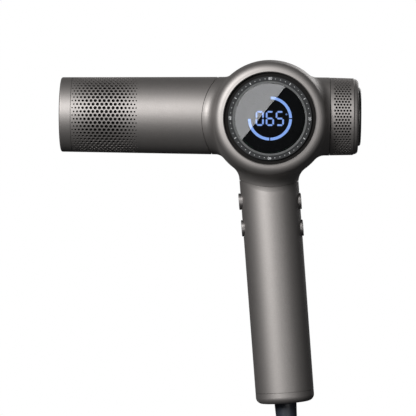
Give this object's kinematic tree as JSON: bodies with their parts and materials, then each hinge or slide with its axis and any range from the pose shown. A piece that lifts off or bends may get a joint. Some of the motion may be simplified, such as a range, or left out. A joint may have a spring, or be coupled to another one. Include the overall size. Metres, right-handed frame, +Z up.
{
  "type": "hair dryer",
  "caption": "Handheld hair dryer: round hub with a lit dial display, straight perforated barrel, pull-off rear filter cap, tubular handle with side buttons, cord with plug.",
  "frame": {"origin": "on the handle's axis, in the middle of the hand grip", "axes": "+Z up, from the handle's foot to the hub; the air outlet points along -X and the display faces -Y"},
  "size_m": [0.2355, 0.0759, 0.5335],
  "materials": {
    "body_metal": "satin",
    "cap_metal": "satin",
    "button_metal": "satin",
    "black_plastic": "matte",
    "dial_grey": "matte",
    "trim_metal": "satin",
    "dark_glass": "gloss",
    "lit_blue": "gloss",
    "circuit_board": "gloss",
    "chip_black": "matte",
    "heat_shield_plastic": "matte",
    "mica": "satin",
    "heater_wire": "satin",
    "copper": "gloss",
    "steel": "satin",
    "magnet": "gloss",
    "impeller_alloy": "satin",
    "mount_rubber": "matte",
    "cord_rubber": "matte",
    "pin_metal": "gloss"
  },
  "bodies": {
    "casing": {"air_duct": "black_plastic", "back_cover": "body_metal", "board_components": "chip_black", "cord_clamp": "black_plastic", "cord_coil": "cord_rubber", "cord_core": "cord_rubber", "cord_end": "cord_rubber", "cord_lead": "cord_rubber", "cord_tie": "cord_rubber", "dial_ring": "dial_grey", "display_board": "circuit_board", "display_carrier": "black_plastic", "display_digits": "lit_blue", "display_glass": "dark_glass", "front_barrel": "body_metal", "handle_chassis": "black_plastic", "handle_end_cap": "body_metal", "handle_shell": "body_metal", "heat_shield": "heat_shield_plastic", "heat_sink": "impeller_alloy", "heater_boards": "mica", "heater_coil": "heater_wire", "heater_mica_tube": "mica", "hub_housing": "body_metal", "inner_leads": "cord_rubber", "inner_screws": "steel", "intake_collar": "black_plastic", "intake_grille": "black_plastic", "ion_module": "black_plastic", "keeper_ring": "steel", "light_arcs": "lit_blue", "main_board": "circuit_board", "motor_housing": "black_plastic", "motor_mount": "mount_rubber", "motor_stator": "steel", "motor_windings": "copper", "outlet_grille": "black_plastic", "outlet_ring": "body_metal", "plug_body": "cord_rubber", "plug_pins": "pin_metal", "rotor_bearings": "steel", "strain_relief": "cord_rubber", "switch_boards": "circuit_board", "switch_carrier": "black_plastic", "tact_switches": "black_plastic", "thermal_cutout": "heat_shield_plastic", "trim_ring": "trim_metal"},
    "rotor": {"rotor_shaft": "steel", "rotor_magnet": "magnet", "impeller": "impeller_alloy"},
    "filter_cap": {"cap_sleeve": "body_metal", "cap_rim": "body_metal", "cap_disc": "cap_metal", "filter_frame": "black_plastic", "filter_mesh": "steel", "cap_magnets": "magnet"},
    "power_button": {"power_button": "button_metal"},
    "cool_button": {"cool_button": "button_metal"},
    "speed_button": {"speed_button": "button_metal"},
    "heat_button": {"heat_button": "button_metal"}
  },
  "joints": [
    {"name": "rotor_spin", "type": "hinge", "parent": "casing", "child": "rotor", "pos_m": [-0.00115, 0, 0.12269], "axis": [1, 0, 0], "continuous": true},
    {"name": "filter_cap_pull", "type": "slide", "parent": "casing", "child": "filter_cap", "axis": [1, 0, 0], "range_m": [0, 0.03]},
    {"name": "power_button_press", "type": "slide", "parent": "casing", "child": "power_button", "axis": [0.9966, 0, 0.0828], "range_m": [0, 0.0008], "stiffness_N_per_m": 800, "springref_m": -0.0005},
    {"name": "cool_button_press", "type": "slide", "parent": "casing", "child": "cool_button", "axis": [0.9966, 0, 0.0828], "range_m": [0, 0.0008], "stiffness_N_per_m": 800, "springref_m": -0.0005},
    {"name": "speed_button_press", "type": "slide", "parent": "casing", "child": "speed_button", "axis": [-0.9966, 0, -0.0828], "range_m": [0, 0.0008], "stiffness_N_per_m": 800, "springref_m": -0.0005},
    {"name": "heat_button_press", "type": "slide", "parent": "casing", "child": "heat_button", "axis": [-0.9966, 0, -0.0828], "range_m": [0, 0.0008], "stiffness_N_per_m": 800, "springref_m": -0.0005}
  ]
}
